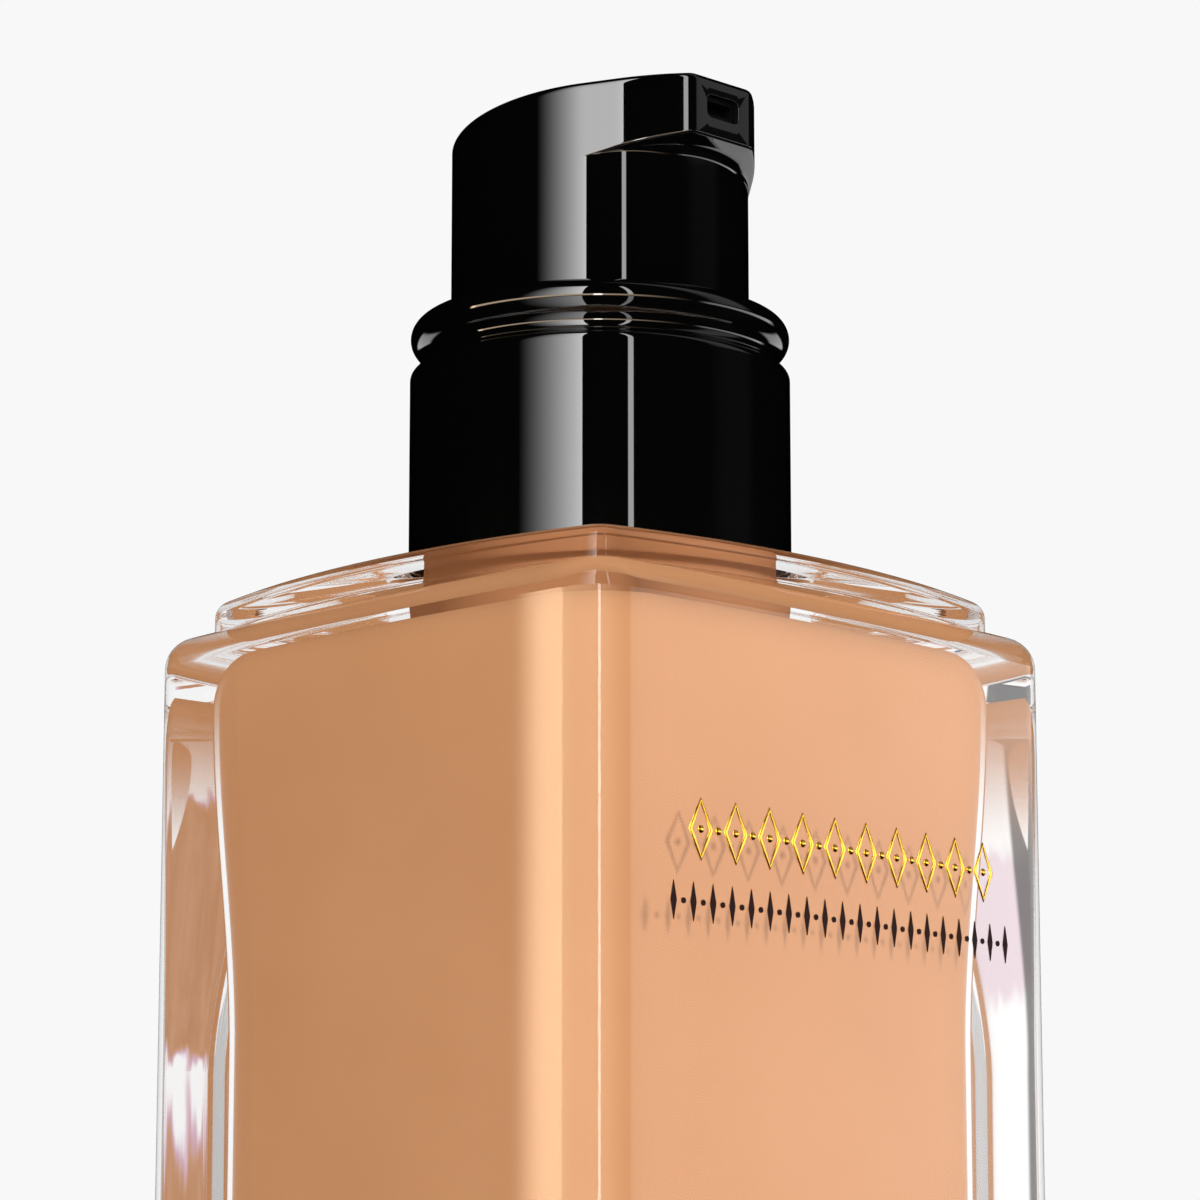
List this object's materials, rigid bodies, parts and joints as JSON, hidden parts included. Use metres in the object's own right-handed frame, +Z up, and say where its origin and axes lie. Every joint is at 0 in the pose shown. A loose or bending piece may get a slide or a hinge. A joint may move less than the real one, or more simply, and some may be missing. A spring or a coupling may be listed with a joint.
{
  "type": "foundation bottle",
  "caption": "Square thick-walled clear glass bottle filled with beige liquid foundation, with a gloss black press pump that has a short side spout.",
  "frame": {"origin": "centre of the bottle's base, on the surface it stands on", "axes": "+Z up along the bottle and the pump; -Y is the printed label face and the nozzle's direction"},
  "size_m": [0.0384, 0.0385, 0.0986],
  "materials": {
    "clear_glass": "pressed and fire polished",
    "foundation": "opaque liquid",
    "gold_foil": "hot-stamped foil",
    "dark_ink": "screen-printed ink",
    "label_paper": "coated paper",
    "gasket_foam": "foamed polyethylene",
    "pump_plastic": "moulded polypropylene",
    "gloss_black": "high gloss",
    "steel": "bright stainless",
    "tube_plastic": "extruded polyethylene",
    "seal_plastic": "soft polyethylene",
    "core_black": "moulded polypropylene"
  },
  "bodies": {
    "bottle": {"glass_bottle": "clear_glass", "foundation_fill": "foundation", "front_foil_print": "gold_foil", "front_ink_print": "dark_ink", "base_label": "label_paper", "neck_gasket": "gasket_foam", "snap_ferrule": "pump_plastic", "collar_shroud": "gloss_black", "pump_housing": "pump_plastic", "stem_guide": "pump_plastic", "spring_seat": "pump_plastic", "dip_tube": "tube_plastic", "return_spring": "steel"},
    "valve_ball": {"inlet_ball": "steel"},
    "stem": {"upper_stem": "pump_plastic", "lower_stem": "pump_plastic"},
    "piston": {"piston_seal": "seal_plastic"},
    "button": {"actuator_shell": "gloss_black", "actuator_core": "core_black", "nozzle_insert": "core_black"}
  },
  "joints": [
    {"name": "button_press", "type": "slide", "parent": "bottle", "child": "stem", "axis": [0, 0, -1], "range_m": [0, 0.0035], "stiffness_N_per_m": 1500, "springref_m": -0.003, "deforming": ["return_spring"]},
    {"name": "button_turn", "type": "hinge", "parent": "stem", "child": "button", "pos_m": [0, 0, 0.09], "axis": [0, 0, 1], "continuous": true},
    {"name": "piston_slide", "type": "slide", "parent": "stem", "child": "piston", "axis": [0, 0, 1], "range_m": [0, 0.0006]},
    {"name": "ball_lift", "type": "slide", "parent": "bottle", "child": "valve_ball", "axis": [0, 0, 1], "range_m": [0, 0.0005]}
  ]
}
